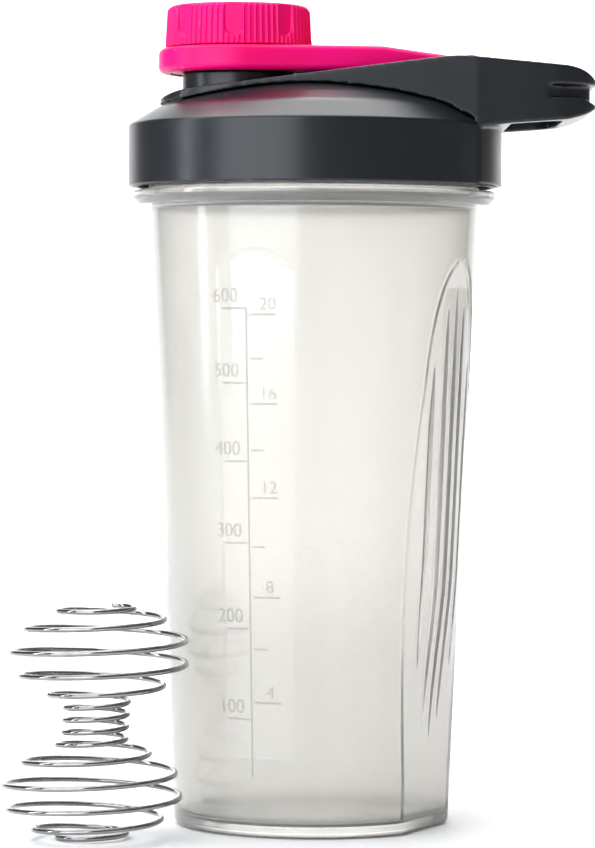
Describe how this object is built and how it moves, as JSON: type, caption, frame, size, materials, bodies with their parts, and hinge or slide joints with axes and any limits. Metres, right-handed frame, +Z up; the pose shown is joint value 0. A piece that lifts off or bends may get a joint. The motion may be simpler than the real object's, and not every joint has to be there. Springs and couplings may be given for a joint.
{
  "type": "shaker bottle",
  "caption": "Tapered translucent shaker cup with a screw lid, carry-loop handle, hinged arm with a screw cap over the spout, and a loose wire whisk.",
  "frame": {"origin": "centre of the cup's flat base, on the surface it stands on", "axes": "+Z up along the cup's axis, +X towards the carry loop, -X towards the spout, -Y towards the whisk's side"},
  "size_m": [0.1556, 0.1094, 0.219],
  "materials": {
    "cup_plastic": "translucent frosted polypropylene",
    "dark_plastic": "satin moulded polypropylene, charcoal",
    "pink_plastic": "satin moulded polypropylene, magenta pink",
    "silicone": "matt silicone",
    "wire": "polished stainless wire",
    "pin_steel": "drawn stainless rod"
  },
  "bodies": {
    "cup": {"cup": "cup_plastic"},
    "gasket": {"lid_gasket": "silicone"},
    "lid": {"lid_shell": "dark_plastic", "handle_frame": "dark_plastic", "hinge_pin": "pin_steel"},
    "arm": {"cap_arm": "pink_plastic"},
    "seal": {"cap_seal": "silicone"},
    "cap": {"spout_cap": "pink_plastic"},
    "whisk": {"whisk": "wire"}
  },
  "joints": [
    {"name": "lid_lift", "type": "slide", "parent": "cup", "child": "gasket", "axis": [0, 0, 1], "range_m": [0, 0.01801]},
    {"name": "lid_turn", "type": "hinge", "parent": "gasket", "child": "lid", "pos_m": [0, 0, 0.178], "axis": [0, 0, 1], "range_deg": [0, 720]},
    {"name": "cap_arm_hinge", "type": "hinge", "parent": "lid", "child": "arm", "pos_m": [0.041, 0, 0.2029], "axis": [0, 1, 0], "range_deg": [0, 160]},
    {"name": "cap_lift", "type": "slide", "parent": "arm", "child": "seal", "axis": [0, 0, 1], "range_m": [0, 0.00301]},
    {"name": "cap_turn", "type": "hinge", "parent": "seal", "child": "cap", "pos_m": [-0.02035, 0, 0.205], "axis": [0, 0, 1], "range_deg": [0, 180]},
    {"name": "whisk_lift", "type": "slide", "parent": "cup", "child": "whisk", "axis": [-0.5434, -0.3432, 0.7661], "range_m": [0, 0.12]}
  ],
  "couplings": [
    {"joint": "lid_lift", "follows": "lid_turn", "m_per_rad": 0.0014324},
    {"joint": "cap_lift", "follows": "cap_turn", "m_per_rad": 0.00095493}
  ]
}
